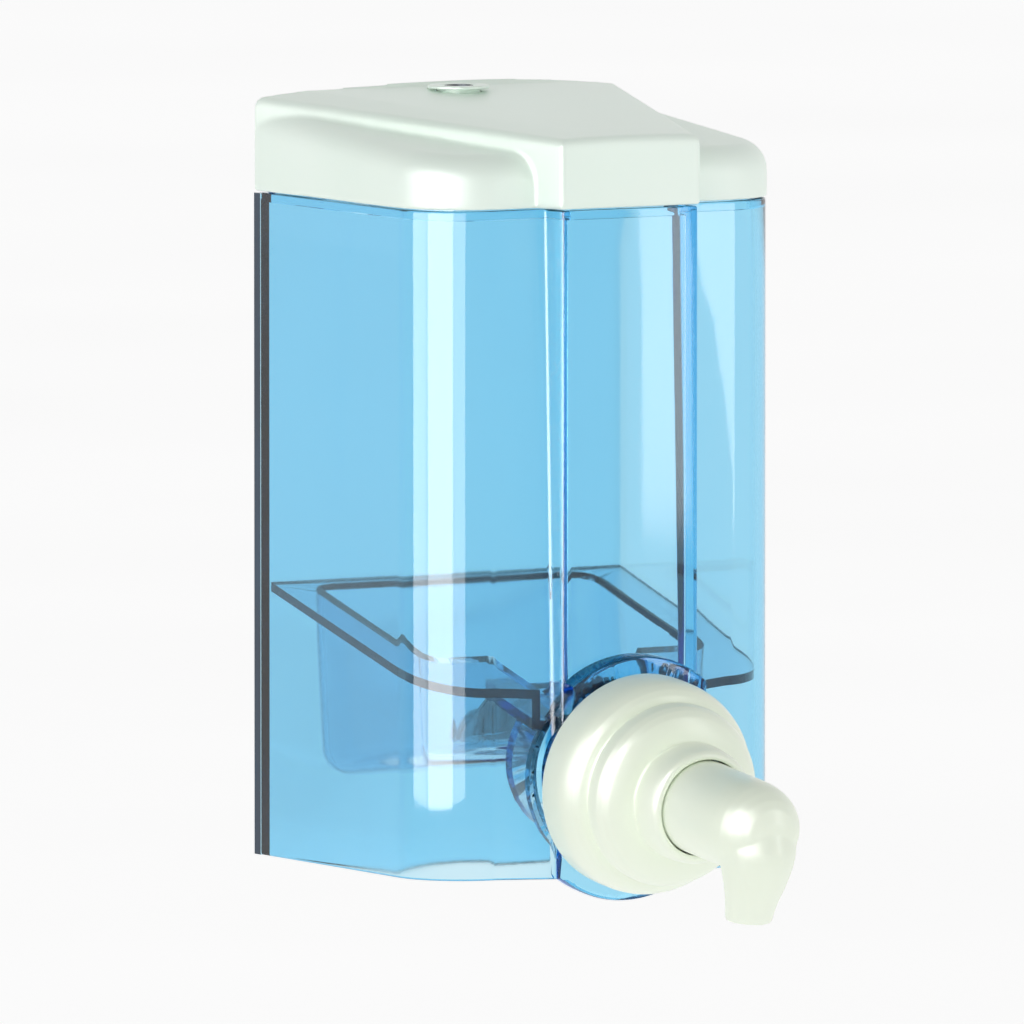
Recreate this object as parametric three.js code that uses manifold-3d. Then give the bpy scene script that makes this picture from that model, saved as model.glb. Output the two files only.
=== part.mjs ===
// Wall mounted foam soap dispenser: a white lockable lid, a tinted see-through
// body on a wall plate, an inner tub that feeds a foam pump, and the pump itself.
// Millimetres, +Z up. X runs along the wall, +Y points into the wall, so the
// room side is -Y. The origin lies on the wall plate's back face.
import * as THREE from 'three';
import * as BufferGeometryUtils from 'three/addons/utils/BufferGeometryUtils.js';
import Module from 'manifold-3d';

const wasm = await Module();
wasm.setup();

// ---------------------------------------------------------------- dimensions
const ORIGIN_HEIGHT = 90;       // origin above the body's bottom edge
const BODY_HALF_WIDTH = 50;     // at the wall
const BODY_FRONT_HALF_WIDTH = 49.2;
const BODY_HEIGHT = 158.5;      // see-through part
const WING_DEPTH = 84.5;        // front faces beside the centre rib, at the top
const WING_FORWARD = 5;         // how far those faces come forward at the bottom, at the rib
const RIB_HALF_WIDTH = 18.6;
const RIB_DEPTH = 92.5;
const CORNER_RADIUS = 17.5;
const WALL = 2.4;
const PLATE_THICKNESS = 3.0;
const SHELL_REAR = 3.3;         // rear face of the see-through body
const GAP = 0.3;
const TILT = THREE.MathUtils.degToRad(7);  // the pump points a little down
const PUMP_DEPTH = 94.8;        // closure's rear face, on the axis
const PUMP_HEIGHT = 23.2;
const BOSS_RADIUS = 29.5;       // round seat on the rib, only as wide as the rib
const NECK_RADIUS = 21.2;
const NECK_BORE = 19.2;
const RIM_REAR_Z = 65.5;        // tub rim height at the rear
const RIM_SLOPE = 20.5 / 77.5;  // it falls towards the front
const BASKET_HALF_WIDTH = 39.3;
const BASKET_FRONT = 62.6;
const STROKE = 12;              // pump travel, for reference
const LOCK_DEPTH = 11;          // lock axis from the wall
const SEG = 32;

// -------------------------------------------------------------------- colours
const tint = () => new THREE.MeshStandardMaterial({ color: 0x8fc8ea, roughness: 0.12, metalness: 0, transparent: true, opacity: 0.45 });
const white = () => new THREE.MeshStandardMaterial({ color: 0xe9f4ea, roughness: 0.38, metalness: 0 });
const clear = () => new THREE.MeshStandardMaterial({ color: 0xdfe9ea, roughness: 0.25, metalness: 0, transparent: true, opacity: 0.6 });
const steel = () => new THREE.MeshStandardMaterial({ color: 0xb9bdc1, roughness: 0.28, metalness: 1 });
const rubber = () => new THREE.MeshStandardMaterial({ color: 0x3b3e42, roughness: 0.8, metalness: 0 });

// -------------------------------------------------------------------- helpers
function solid(geometry) {
  let g = geometry.index ? geometry.clone() : geometry.clone();
  for (const name of Object.keys(g.attributes)) if (name !== 'position') g.deleteAttribute(name);
  g = BufferGeometryUtils.mergeVertices(g, 1e-4);
  const index = [];
  const src = g.index.array;
  for (let i = 0; i < src.length; i += 3) {
    const [a, b, c] = [src[i], src[i + 1], src[i + 2]];
    if (a !== b && b !== c && a !== c) index.push(a, b, c);
  }
  return new wasm.Manifold(new wasm.Mesh({
    numProp: 3,
    vertProperties: new Float32Array(g.attributes.position.array),
    triVerts: new Uint32Array(index),
  }));
}
function geometryOf(manifold) {
  const m = manifold.getMesh();
  const g = new THREE.BufferGeometry();
  const pos = new Float32Array(m.numVert * 3);
  for (let i = 0; i < m.numVert; i++) {
    for (let k = 0; k < 3; k++) pos[3 * i + k] = m.vertProperties[m.numProp * i + k];
  }
  g.setAttribute('position', new THREE.BufferAttribute(pos, 3));
  g.setIndex(new THREE.BufferAttribute(new Uint32Array(m.triVerts), 1));
  // corners that coincide after rounding become one, and the empty faces between them go
  const merged = BufferGeometryUtils.mergeVertices(g, 2e-3);
  const src = merged.index.array;
  const index = [];
  for (let i = 0; i < src.length; i += 3) {
    const [a, b, c] = [src[i], src[i + 1], src[i + 2]];
    if (a !== b && b !== c && a !== c) index.push(a, b, c);
  }
  merged.setIndex(index);
  merged.computeVertexNormals();
  return merged;
}
const union = (...parts) => parts.reduce((a, b) => a.add(b));
const cut = (a, ...tools) => tools.reduce((m, t) => m.subtract(t), a);

// box given by x range, depth range (from the wall) and height range
function box(x0, x1, f0, f1, z0, z1) {
  const g = new THREE.BoxGeometry(x1 - x0, f1 - f0, z1 - z0);
  g.translate((x0 + x1) / 2, -(f0 + f1) / 2, (z0 + z1) / 2);
  return solid(g);
}
// closed loft between rings of equal length; each ring is a list of [x, y, z]
function loftGeometry(rings) {
  const n = rings[0].length;
  const pos = [];
  for (const ring of rings) for (const p of ring) pos.push(...p);
  const index = [];
  for (let k = 0; k + 1 < rings.length; k++) {
    for (let i = 0; i < n; i++) {
      const j = (i + 1) % n;
      const [a, b, c, d] = [k * n + i, k * n + j, (k + 1) * n + j, (k + 1) * n + i];
      index.push(a, b, c, a, c, d);
    }
  }
  const flat = (ring) => ring.map((p) => new THREE.Vector2(p[0], p[1]));
  const top = (rings.length - 1) * n;
  for (const t of THREE.ShapeUtils.triangulateShape(flat(rings[0]), [])) index.push(t[0], t[2], t[1]);
  for (const t of THREE.ShapeUtils.triangulateShape(flat(rings[rings.length - 1]), [])) index.push(top + t[0], top + t[1], top + t[2]);
  const g = new THREE.BufferGeometry();
  g.setAttribute('position', new THREE.Float32BufferAttribute(pos, 3));
  g.setIndex(index);
  return g;
}
// rings are anticlockwise seen from above, heights rising
function loft(rings) { return solid(loftGeometry(rings)); }

// lathe about local +Z; profile is a list of [radius, height], anticlockwise in (radius, height)
function lathe(profile, segments = SEG, close = true) {
  const pts = profile.map(([r, a]) => new THREE.Vector2(r, a));
  if (close) pts.push(pts[0].clone());
  const g = new THREE.LatheGeometry(pts, segments);
  g.rotateX(Math.PI / 2);   // the lathe's axis, +Y, becomes +Z
  return g;
}
function latheSolid(profile, segments = SEG, close = true) {
  let m = solid(lathe(profile, segments, close));
  if (m.volume() < 0) {
    m = solid(lathe([...profile].reverse(), segments, close));
  }
  return m;
}
const ring = (r0, r1, a0, a1, segments = SEG) => latheSolid([[r0, a0], [r1, a0], [r1, a1], [r0, a1]], segments);
const rod = (r, a0, a1, segments = SEG) => latheSolid([[0, a0], [r, a0], [r, a1], [0, a1]], segments, false);

// ----------------------------------------------------------------- plan shape
// plan outline of the body, moved inwards by `inset`, at height z; rear face at depth `rear`
function outline(z, inset, rear, steps = 7) {
  const side = BODY_HALF_WIDTH - inset;
  const sideFront = BODY_FRONT_HALF_WIDTH - inset;
  const r = CORNER_RADIUS - inset;
  const cx = BODY_FRONT_HALF_WIDTH - CORNER_RADIUS;
  const cf = WING_DEPTH - CORNER_RADIUS;
  const t = THREE.MathUtils.clamp(1 - z / BODY_HEIGHT, -0.15, 1);
  const atRib = WING_DEPTH + WING_FORWARD * t - inset;
  const ribX = RIB_HALF_WIDTH - inset;
  const ribF = RIB_DEPTH - inset;
  const half = [];
  half.push([side, rear]);
  for (let k = 0; k <= steps; k++) {
    const a = (Math.PI / 2) * (k / steps);
    half.push([cx + r * Math.cos(a), cf + r * Math.sin(a)]);
  }
  half[1][0] = sideFront;
  half.push([ribX, atRib], [ribX, ribF]);
  const pts = [];
  // anticlockwise seen from above, with y = -depth: left rear, along the left side to the front, round to the right rear
  for (const [x, f] of half) pts.push([-x, -f, z]);
  for (const [x, f] of [...half].reverse()) pts.push([x, -f, z]);
  return pts;
}
const bodyPrism = (z0, z1, inset, rear) => loft([outline(z0, inset, rear), outline(z1, inset, rear)]);

// ------------------------------------------------------------- pump placement
const pumpMatrix = new THREE.Matrix4()
  .makeRotationX(Math.PI / 2 + TILT)
  .setPosition(0, -PUMP_DEPTH, PUMP_HEIGHT);
const onPumpAxis = (m) => {
  const g = geometryOf(m);
  g.applyMatrix4(pumpMatrix);
  return solid(g);
};

// ----------------------------------------------------------------- wall plate
const LID_BASE = BODY_HEIGHT + GAP;
let wallPlate = union(
  box(-BODY_HALF_WIDTH, BODY_HALF_WIDTH, 0, PLATE_THICKNESS, 0, BODY_HEIGHT - 0.2),
  box(-34, 34, 0, PLATE_THICKNESS, BODY_HEIGHT - 1, 170),               // upstand under the lid
  box(-34, -24, PLATE_THICKNESS - 0.5, 8.0, BODY_HEIGHT + 0.2, 161.5),   // hooks over the body's rear wall
  box(-34, -24, 6.0, 8.0, 153.5, 161.5),
  box(24, 34, PLATE_THICKNESS - 0.5, 8.0, BODY_HEIGHT + 0.2, 161.5),
  box(24, 34, 6.0, 8.0, 153.5, 161.5),
);
const screwHole = (x, z) => {
  const g = new THREE.CylinderGeometry(2.4, 2.4, 20, 20);
  g.translate(x, 0, z);
  return solid(g);
};
wallPlate = cut(wallPlate,
  box(-9.5, 9.5, -1, 6, 160.3, 167.2),   // keeper window for the lock's tongue
  screwHole(-20, 164.5), screwHole(20, 164.5));

// ----------------------------------------------------------------- outer body
const ribSlab = (half) => box(-half, half, 0, 130, -30, 90);
const boss = onPumpAxis(rod(BOSS_RADIUS, -6, -0.6, 48)).intersect(ribSlab(RIB_HALF_WIDTH - 0.4));
let shell = union(
  cut(bodyPrism(0, BODY_HEIGHT, 0, SHELL_REAR), bodyPrism(-2, BODY_HEIGHT + 2, WALL, SHELL_REAR + 2.2)),
  boss);
const lip = cut(bodyPrism(BODY_HEIGHT - 2.4, 163.5, 2.0, SHELL_REAR + 0.3),
  bodyPrism(BODY_HEIGHT - 4, 165, 3.6, SHELL_REAR + 2.2));
shell = union(shell, lip);
shell = cut(shell,
  onPumpAxis(rod(NECK_RADIUS + 0.4, -40, 5, 48)),
  onPumpAxis(rod(BOSS_RADIUS + 0.3, -0.6, 20, 48)),     // the rib's face is trimmed flush with the seat
  box(-34.4, 34.4, 0, 9, BODY_HEIGHT - 0.1, 170),       // room for the plate's upstand
  box(-34.4, 34.4, 5.6, 9, BODY_HEIGHT - 6, 170));

// ------------------------------------------------------------------ inner tub
const TUB_INSET = WALL + GAP;
const TUB_REAR = SHELL_REAR + 2.2 + GAP;
const rimZ = (f) => RIM_REAR_Z - RIM_SLOPE * (f - TUB_REAR);
function slopedPlate(zOffset, thickness, f0 = TUB_REAR, x = 60) {
  // a plate whose top follows the rim plane moved by zOffset
  const f1 = 100;
  const p = (xx, f, dz) => [xx, -f, rimZ(f) + zOffset + dz];
  const bottom = [p(-x, f0, -thickness), p(-x, f1, -thickness), p(x, f1, -thickness), p(x, f0, -thickness)];
  const top = [p(-x, f0, 0), p(-x, f1, 0), p(x, f1, 0), p(x, f0, 0)];
  return loft([bottom, top]);
}
const inBody = (m) => m.intersect(bodyPrism(0, BODY_HEIGHT, TUB_INSET, TUB_REAR));
const bossRoom = union(
  onPumpAxis(rod(BOSS_RADIUS + 0.4, -12.4, 30, 48)).intersect(ribSlab(RIB_HALF_WIDTH + 0.4)),
  onPumpAxis(rod(NECK_RADIUS + 0.8, -12.4, 30, 40)));
const DROP = 7.2;               // centre front of the rim sits lower
function basket(grow, floor) {
  // tapered basin, floor a little lower at the rear
  const w0 = BASKET_HALF_WIDTH - 2.6 - grow;
  const w1 = BASKET_HALF_WIDTH - grow;
  const fr = TUB_REAR + 1.0 + grow;
  const f0 = BASKET_FRONT + 0.4 - grow;
  const rc = 7 - grow;
  const ringAt = (w, ff, z0, z1) => {
    const pts = [];
    const corner = (cx, cf, a0) => {
      for (let k = 0; k <= 3; k++) {
        const a = a0 + (Math.PI / 2) * (k / 3);
        const x = cx + rc * Math.cos(a);
        const f = cf + rc * Math.sin(a);
        const s = (f - fr) / (ff - fr);
        pts.push([x, f, z0 + (z1 - z0) * s]);
      }
    };
    corner(w - rc, fr + rc, -Math.PI / 2);
    corner(w - rc, ff - rc, 0);
    corner(-w + rc, ff - rc, Math.PI / 2);
    corner(-w + rc, fr + rc, Math.PI);
    // this runs clockwise once y = -depth, so it is reversed
    return pts.map(([x, f, z]) => [x, -f, z]).reverse();
  };
  const rings = [
    ringAt(w0 - 6, f0 - 7, 18.5 + floor, 24.6 + floor),
    ringAt(w0 - 1.8, f0 - 2.2, 20.4 + floor, 26.4 + floor),
    ringAt(w0, f0 - 1, 24.8 + floor, 29.5 + floor),
    ringAt(w1, f0, 72, 62),
  ];
  return loft(rings);
}
const below = (zOffset) => {    // everything under the rim plane
  const f0 = 0, f1 = 100, x = 60;
  const p = (xx, f, z) => [xx, -f, z];
  return loft([
    [p(-x, f0, -20), p(-x, f1, -20), p(x, f1, -20), p(x, f0, -20)],
    [p(-x, f0, rimZ(f0) + zOffset), p(-x, f1, rimZ(f1) + zOffset), p(x, f1, rimZ(f1) + zOffset), p(x, f0, rimZ(f0) + zOffset)],
  ]);
};
const CENTRE = 20.3;
let rimPlate = inBody(slopedPlate(0, 2.2));
rimPlate = cut(rimPlate, box(-CENTRE, CENTRE, BASKET_FRONT - 0.4, 100, 20, 80));
let lowDeck = inBody(slopedPlate(-DROP, 2.2)).intersect(box(-CENTRE - 2, CENTRE + 2, BASKET_FRONT - 1.6, 100, 20, 80));
let risers = union(
  box(-CENTRE - 2, -CENTRE, BASKET_FRONT - 1.6, 100, 20, 80),
  box(CENTRE, CENTRE + 2, BASKET_FRONT - 1.6, 100, 20, 80));
risers = cut(inBody(risers).intersect(below(0)), below(-DROP - 2.2));
const neckBody = onPumpAxis(union(rod(NECK_RADIUS, -13.4, 9.5), rod(17.7, -31, -13)));
let tub = union(
  cut(union(rimPlate, lowDeck, risers), bossRoom),
  basket(0, 0).intersect(below(0)),
  neckBody,
  onPumpAxis(rod(8.0, -52, -29.5, 24)),    // trough round the pump's liquid cylinder
  onPumpAxis(rod(22.3, -14.0, -12.0)),     // flange that seats behind the body's front wall
);
const notch = box(-CENTRE, CENTRE, BASKET_FRONT - 6, BASKET_FRONT + 3, 20, 80);
tub = cut(tub,
  cut(basket(2.0, 2.2), below(-60)),
  onPumpAxis(union(rod(NECK_BORE, -10.4, 12), rod(16.2, -29, -10))),
  onPumpAxis(rod(6.0, -75, -28, 24)),
  cut(notch, below(-DROP)));
tub = cut(tub, onPumpAxis(latheSolid([[NECK_RADIUS + 0.6, -3.4], [40, -3.4], [40, -0.3], [NECK_RADIUS + 0.6, -0.3]], 40)).intersect(box(-60, 60, 60, 120, -30, 80)));

// ------------------------------------------------------------------------ lid
// heights of the lid's two top faces at depth f
const WING_TOP = (f) => 178.6 - 7.6 * f / WING_DEPTH;
function under(p) {
  // solid under a surface through given corner heights; p = list of [x, f, z] anticlockwise from above
  const bottom = p.map(([x, f]) => [x, -f, 150]);
  const top = p.map(([x, f, z]) => [x, -f, z]);
  return loft([bottom, top]);
}
function lidBody(inset, drop, base) {
  const wing = bodyPrism(base, 190, inset, 0.2 + (inset > 0 ? inset : 0))
    .intersect(under([[-70, -5, WING_TOP(-5) - drop], [-70, 110, WING_TOP(110) - drop], [70, 110, WING_TOP(110) - drop], [70, -5, WING_TOP(-5) - drop]]));
  const w = BODY_HALF_WIDTH - inset, r = RIB_HALF_WIDTH - inset, d = RIB_DEPTH - inset;
  const rear = 0.2 + (inset > 0 ? inset : 0);
  const p = [[-w, rear, 181 - drop], [-r, d, 175.3 - drop], [0, d, 175.7 - drop], [r, d, 175.3 - drop], [w, rear, 181 - drop], [0, rear, 183.7 - drop]];
  const bottom = p.map(([x, f]) => [x, -f, base]);
  const top = p.map(([x, f, z]) => [x, -f, z]);
  // the roof is two faces that meet at the centre line
  const n = p.length;
  const pos = [...bottom.flat(), ...top.flat()];
  const index = [];
  for (let i = 0; i < n; i++) {
    const j = (i + 1) % n;
    index.push(i, j, n + j, i, n + j, n + i);
  }
  const faces = [[0, 1, 2], [0, 2, 5], [5, 2, 4], [2, 3, 4]];
  for (const [a, b, c] of faces) {
    index.push(n + a, n + b, n + c);
    index.push(a, c, b);
  }
  const g = new THREE.BufferGeometry();
  g.setAttribute('position', new THREE.Float32BufferAttribute(pos, 3));
  g.setIndex(index);
  return union(wing, solid(g));
}
let lid = cut(lidBody(-0.3, 0, LID_BASE), lidBody(1.7, 2.0, LID_BASE - 4));
lid = cut(lid, box(-35, 35, -1, 4, 150, 171));          // open at the back for the plate's upstand
const vertical = (x, f, m) => m.translate([x, -f, 0]);
const LOCK_TOP = 182.3;
lid = union(lid, vertical(0, LOCK_DEPTH, rod(9.5, 176.5, 186, 28)).intersect(lidBody(-0.3, 0.1, LID_BASE)));
lid = cut(lid, vertical(0, LOCK_DEPTH, rod(5.5, 150, 200, 28)), vertical(0, LOCK_DEPTH, rod(7.8, 181.8, 200, 28)));

// lock set in the lid
const lockSleeve = vertical(0, LOCK_DEPTH, cut(
  union(rod(5.2, 166.9, LOCK_TOP - 0.2, 28), ring(4.0, 7.4, LOCK_TOP - 0.2, LOCK_TOP + 0.6, 28)),
  rod(4.0, 160, 190, 28)));
const lockNut = (() => {
  const g = new THREE.CylinderGeometry(7.3, 7.3, 3, 6);
  g.rotateX(Math.PI / 2);
  g.translate(0, -LOCK_DEPTH, 174.4);
  return cut(solid(g), vertical(0, LOCK_DEPTH, rod(5.5, 160, 190, 28)));
})();
let lockPlug = vertical(0, LOCK_DEPTH, rod(3.7, 162.1, LOCK_TOP + 0.5, 28));
lockPlug = cut(lockPlug,
  vertical(0, LOCK_DEPTH, rod(2.4, LOCK_TOP - 4, LOCK_TOP + 3, 20)),
  box(0, 3.2, LOCK_DEPTH - 0.6, LOCK_DEPTH + 0.6, LOCK_TOP - 4, LOCK_TOP + 3));
lockPlug = cut(lockPlug, cut(vertical(0, LOCK_DEPTH, rod(6, 161, 165.6, 28)), vertical(0, LOCK_DEPTH, rod(2.6, 160, 166, 20))));
lockPlug = cut(lockPlug, vertical(0, LOCK_DEPTH, rod(1.3, 160, 168, 16)));
let lockTongue = union(vertical(0, LOCK_DEPTH, rod(4.6, 163.0, 165.3, 24)), box(0, 10, LOCK_DEPTH - 2.6, LOCK_DEPTH + 2.6, 163.0, 165.3));
lockTongue = cut(lockTongue, vertical(0, LOCK_DEPTH, rod(2.9, 160, 170, 20)));
const lockScrew = vertical(0, LOCK_DEPTH, union(rod(3.8, 160.0, 161.8, 20), rod(1.0, 161.5, 167.6, 16)));

// ----------------------------------------------------------------------- pump
// along the pump's own axis: +Z here points out of the dispenser, zero is the closure's rear edge
const closure = latheSolid([
  [22.4, 0], [25.4, 0], [25.9, 0.7], [25.9, 8.2], [25.5, 10.6], [24.4, 12.6], [22.7, 14], [21.8, 14.5],
  [21.9, 17.4], [21.4, 19.6], [20, 21.6], [17.6, 23.1], [14.8, 23.8], [14.3, 24.4], [14.0, 30.2], [13.4, 31.9],
  [12.6, 32.6], [11.6, 32.6], [11.6, 20.8], [17.6, 20.8], [17.6, 12.6], [22.4, 12.6],
], 40);
const gasket = ring(16.4, 20.9, 9.8, 11.0);
const housing = latheSolid([
  [14.4, 12.3], [14.4, -20.6], [3.9, -22.6], [3.9, -57.5], [2.9, -57.5], [2.9, -61.6], [1.6, -62.4], [1.6, -68.4],
  [3.2, -68.4], [3.2, -63.8], [5.2, -62.6], [5.2, -24.4], [15.6, -22], [15.6, 11.3], [20.9, 11.3], [20.9, 12.3],
]);
const suctionTube = (() => {
  // short flexible tube pushed on the inlet, bending down to the basin's floor
  const pts = [[0, -65.0], [0, -70.5], [-1.2, -74.2], [-3.9, -76.6], [-7.0, -77.4]];
  const curve = new THREE.CatmullRomCurve3(pts.map(([y, a]) => new THREE.Vector3(0, y, a)));
  const make = (r) => {
    const s = new THREE.Shape();
    for (let k = 0; k < 12; k++) {
      const t = (k / 12) * Math.PI * 2;
      if (k === 0) s.moveTo(r * Math.cos(t), r * Math.sin(t)); else s.lineTo(r * Math.cos(t), r * Math.sin(t));
    }
    s.closePath();
    return s;
  };
  const outer = make(4.5);
  outer.holes.push(make(3.5));
  return new THREE.ExtrudeGeometry(outer, { steps: 12, extrudePath: curve, curveSegments: 12 });
})();
const ball = (r, a) => {
  const g = new THREE.SphereGeometry(r, 16, 12);
  g.translate(0, 0, a);
  return solid(g);
};
const inletBall = ball(2.2, -59.9);
const outletBall = ball(2.6, 17.1);
const liquidPiston = latheSolid([
  [2.0, 15], [2.0, -40], [3.6, -40], [3.6, 4.4], [5.9, 6], [5.9, 20.2], [3.2, 20.2], [3.2, 15.4],
]);
const airPiston = latheSolid([
  [6.2, 6], [7.6, 6], [7.6, 9], [12.6, 9], [12.6, 6.6], [13.6, 6], [14.1, 6.4], [14.1, 11.6], [13.6, 11.9],
  [12.6, 11], [12.6, 10.4], [7.6, 10.4], [7.6, 18.6], [9.3, 19.4], [9.3, 21.2], [6.2, 21.2],
]);
const airValve = ring(8.0, 12.0, 10.7, 11.4, 28);
const spring = (() => {
  const turns = 5, r = 3.3, wire = 0.36, a0 = -56.9, a1 = -40.9;
  const pts = [];
  const n = turns * 10;
  for (let k = 0; k <= n; k++) {
    const t = (k / n) * turns * Math.PI * 2;
    pts.push(new THREE.Vector3(r * Math.cos(t), r * Math.sin(t), a0 + (a1 - a0) * (k / n)));
  }
  const s = new THREE.Shape();
  for (let k = 0; k < 6; k++) {
    const t = (k / 6) * Math.PI * 2;
    if (k === 0) s.moveTo(wire * Math.cos(t), wire * Math.sin(t)); else s.lineTo(wire * Math.cos(t), wire * Math.sin(t));
  }
  s.closePath();
  return new THREE.ExtrudeGeometry(s, { steps: n, extrudePath: new THREE.CatmullRomCurve3(pts), curveSegments: 6 });
})();
const mixer = (() => {
  let m = rod(9.2, 22.6, 24.4, 28);
  m = cut(m, rod(1.6, 20, 26, 16));
  for (let k = 0; k < 6; k++) {
    const a = (k / 6) * Math.PI * 2;
    m = cut(m, rod(1.1, 20, 26, 12).translate([5.4 * Math.cos(a), 5.4 * Math.sin(a), 0]));
  }
  return m;
})();
const meshCartridge = latheSolid([[7.4, 24.8], [9.2, 24.8], [9.2, 42.6], [5.2, 42.6], [5.2, 41.2], [7.4, 41.2]], 28);
const screenDisc = (a) => rod(7.0, a, a + 0.5, 24);
const meshCoarse = screenDisc(26.0);
const meshFine = screenDisc(40.2);

// actuator: skirt, rounded elbow and a spout that hangs straight down from it
const SPOUT_AXIS = 55.2;
function spoutSolid(shrink, reach) {
  // elliptical sections stacked down the spout, from inside the elbow to the tip
  const sections = [
    [0.5, 9.3, 10.2, 55.6], [4, 9.5, 10.3, 56.6], [8, 8.8, 9.5, 57.2], [12, 7.8, 8.2, 57.2], [16, 6.8, 7.0, 56.6], [19.5, 6.1, 6.2, 56.0], [reach, 5.8, 5.8, 55.5],
  ];
  const n = 20;
  const rings = sections.map(([down, rx, ra, centre]) => {
    const pts = [];
    for (let k = 0; k < n; k++) {
      const t = (k / n) * Math.PI * 2;
      pts.push([(rx - shrink) * Math.cos(t), (ra - shrink) * Math.sin(t), down, centre]);
    }
    return pts;
  });
  // build with the stack along +Z, then turn it so that it runs down (-Y) from the axis
  const g = loftGeometry(rings.map((r) => r.map(([x, a, down, centre]) => [x, a + centre, down])));
  const p = g.attributes.position;
  for (let i = 0; i < p.count; i++) {
    const x = p.getX(i), a = p.getY(i), down = p.getZ(i);
    p.setXYZ(i, x, -down, a);
  }
  let m = solid(g);
  if (m.volume() < 0) {
    const idx = g.index.array;
    for (let i = 0; i < idx.length; i += 3) [idx[i + 1], idx[i + 2]] = [idx[i + 2], idx[i + 1]];
    m = solid(g);
  }
  return m;
}
let actuator = union(
  latheSolid([[0, 22.2], [11.2, 22.2], [11.2, 53], [10.9, 56], [10.0, 59], [8.4, 61.8], [6.0, 64], [3, 65.1], [0, 65.4]], SEG, false),
  spoutSolid(0, 22.3),
);
actuator = cut(actuator,
  rod(9.6, 20, 43.2),
  rod(3.6, 42, 57, 20),
  (() => {
    const g = new THREE.CylinderGeometry(3.4, 3.6, 30, 20);
    g.translate(0, -14.6, 55.4);
    return solid(g);
  })());

// ------------------------------------------------------------------- assembly
const object = new THREE.Group();
const body = new THREE.Group();
body.position.set(0, 0, -ORIGIN_HEIGHT);
object.add(body);
const pump = new THREE.Group();
pump.position.set(0, -PUMP_DEPTH, PUMP_HEIGHT);
pump.rotation.set(Math.PI / 2 + TILT, 0, 0);
body.add(pump);

function add(parent, name, shape, material) {
  const geometry = shape.getMesh ? geometryOf(shape) : shape;
  const mesh = new THREE.Mesh(geometry, material);
  mesh.name = name;
  parent.add(mesh);
}
add(body, 'wall_plate', wallPlate, tint());
add(body, 'outer_shell', shell, tint());
add(body, 'tank_tub', tub, tint());
add(body, 'lid', lid, white());
add(body, 'lock_sleeve', lockSleeve, steel());
add(body, 'lock_nut', lockNut, steel());
add(body, 'lock_plug', lockPlug, steel());
add(body, 'lock_tongue', lockTongue, steel());
add(body, 'lock_screw', lockScrew, steel());
add(pump, 'pump_closure', closure, white());
add(pump, 'neck_gasket', gasket, rubber());
add(pump, 'pump_housing', housing, clear());
add(pump, 'suction_tube', suctionTube, clear());
add(pump, 'inlet_ball', inletBall, steel());
add(pump, 'return_spring', spring, steel());
add(pump, 'liquid_piston', liquidPiston, white());
add(pump, 'outlet_ball', outletBall, steel());
add(pump, 'air_piston', airPiston, white());
add(pump, 'air_valve_ring', airValve, rubber());
add(pump, 'foam_mixer', mixer, white());
add(pump, 'mesh_cartridge', meshCartridge, white());
add(pump, 'mesh_coarse', meshCoarse, clear());
add(pump, 'mesh_fine', meshFine, clear());
add(pump, 'actuator_spout', actuator, white());

export default object;
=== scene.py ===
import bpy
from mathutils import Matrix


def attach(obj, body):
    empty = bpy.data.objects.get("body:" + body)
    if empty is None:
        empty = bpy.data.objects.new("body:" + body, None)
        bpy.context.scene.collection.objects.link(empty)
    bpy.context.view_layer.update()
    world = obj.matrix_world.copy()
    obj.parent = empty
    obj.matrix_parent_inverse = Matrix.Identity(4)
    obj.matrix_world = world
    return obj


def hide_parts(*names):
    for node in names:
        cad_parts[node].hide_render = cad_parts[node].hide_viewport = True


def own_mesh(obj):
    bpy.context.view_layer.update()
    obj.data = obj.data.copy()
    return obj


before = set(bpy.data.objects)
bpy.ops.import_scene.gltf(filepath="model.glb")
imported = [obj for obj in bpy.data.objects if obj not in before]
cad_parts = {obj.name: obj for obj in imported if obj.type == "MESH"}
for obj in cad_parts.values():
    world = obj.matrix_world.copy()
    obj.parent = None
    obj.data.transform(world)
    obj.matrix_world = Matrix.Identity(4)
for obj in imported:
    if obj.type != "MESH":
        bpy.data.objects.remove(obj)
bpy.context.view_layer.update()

import math

import bmesh
import bpy
from mathutils import Matrix, Vector
from mathutils.geometry import tessellate_polygon

# ------------------------------------------------------------------ dimensions (mm, height from the body's bottom edge)
OZ = 90.0
HALF_W, FRONT_HALF_W, HEIGHT = 50.0, 49.2, 158.5
WING_F, WING_FWD, RIB_X, RIB_F, CORNER_R = 84.5, 5.0, 18.6, 92.5, 17.5
WALL, SHELL_REAR, GAP = 2.4, 3.3, 0.3
TILT = math.radians(7)
PUMP_F, PUMP_Z, BOSS_R = 94.8, 23.2, 29.5
NECK_R, NECK_BORE = 21.2, 19.2
RIM_Z, RIM_SLOPE = 65.5, 20.5 / 77.5
TUB_INSET, TUB_REAR = WALL + GAP, SHELL_REAR + 2.2 + GAP
BASKET_W, BASKET_F = 39.3, 62.6
DROP, CENTRE = 7.2, 20.3
LID_BASE = HEIGHT + GAP
LOCK_F, LOCK_TOP = 11.0, 182.4
PUMP = Matrix.Translation((0, -PUMP_F, PUMP_Z)) @ Matrix.Rotation(math.pi / 2 + TILT, 4, "X")
DOWN = Matrix.Translation((0, 0, -OZ))
MM = Matrix.Scale(0.001, 4)

scene = bpy.context.scene
coll = scene.collection


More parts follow.
